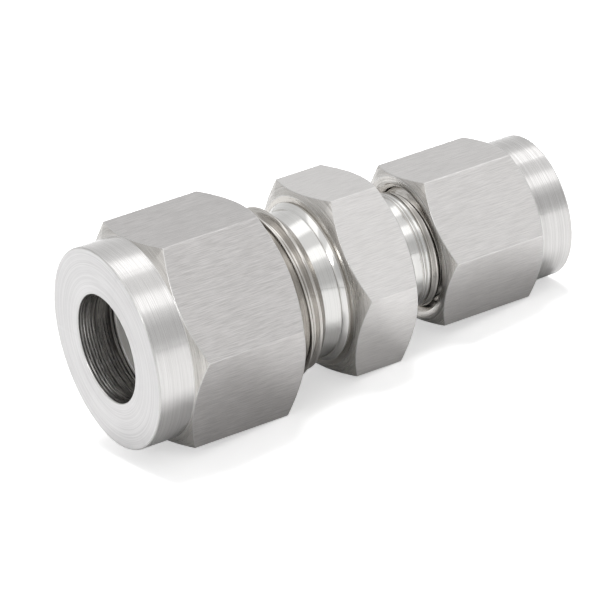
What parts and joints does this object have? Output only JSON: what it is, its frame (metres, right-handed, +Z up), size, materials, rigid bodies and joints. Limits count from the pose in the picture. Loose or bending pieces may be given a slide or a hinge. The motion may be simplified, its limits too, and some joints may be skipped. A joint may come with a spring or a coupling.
{
  "type": "reducing union",
  "caption": "Stainless twin-ferrule tube fitting that joins a thicker tube to a thinner one, with a hex body and screwed nuts.",
  "frame": {"origin": "on the fitting's axis, midway between the two tube faces, which is the centre of its box", "axes": "+X along the axis towards the small tube end, +Z up with a flat of each hexagon facing down, +Y to the far side"},
  "size_m": [0.045, 0.0216, 0.0188],
  "materials": {
    "turned_steel": "satin turned and brushed stainless steel",
    "ferrule_steel": "bright turned stainless steel"
  },
  "bodies": {
    "union_body": {"body": "turned_steel"},
    "large_ferrules": {"large_back_ferrule": "ferrule_steel", "large_front_ferrule": "ferrule_steel"},
    "large_nut_body": {"large_nut": "turned_steel"},
    "small_ferrules": {"small_back_ferrule": "ferrule_steel", "small_front_ferrule": "ferrule_steel"},
    "small_nut_body": {"small_nut": "turned_steel"}
  },
  "joints": [
    {"name": "large_nut_travel", "type": "slide", "parent": "union_body", "child": "large_ferrules", "axis": [-1, 0, 0], "range_m": [0, 0.0077]},
    {"name": "large_nut_turn", "type": "hinge", "parent": "large_ferrules", "child": "large_nut_body", "pos_m": [-0.01255, 0, 0], "axis": [-1, 0, 0], "range_deg": [0, 2183]},
    {"name": "small_nut_travel", "type": "slide", "parent": "union_body", "child": "small_ferrules", "axis": [1, 0, 0], "range_m": [0, 0.0075]},
    {"name": "small_nut_turn", "type": "hinge", "parent": "small_ferrules", "child": "small_nut_body", "pos_m": [0.01255, 0, 0], "axis": [1, 0, 0], "range_deg": [0, 2126]}
  ],
  "couplings": [
    {"joint": "large_nut_turn", "follows": "large_nut_travel", "rad_per_m": 4947.4},
    {"joint": "small_nut_turn", "follows": "small_nut_travel", "rad_per_m": 4947.4}
  ]
}
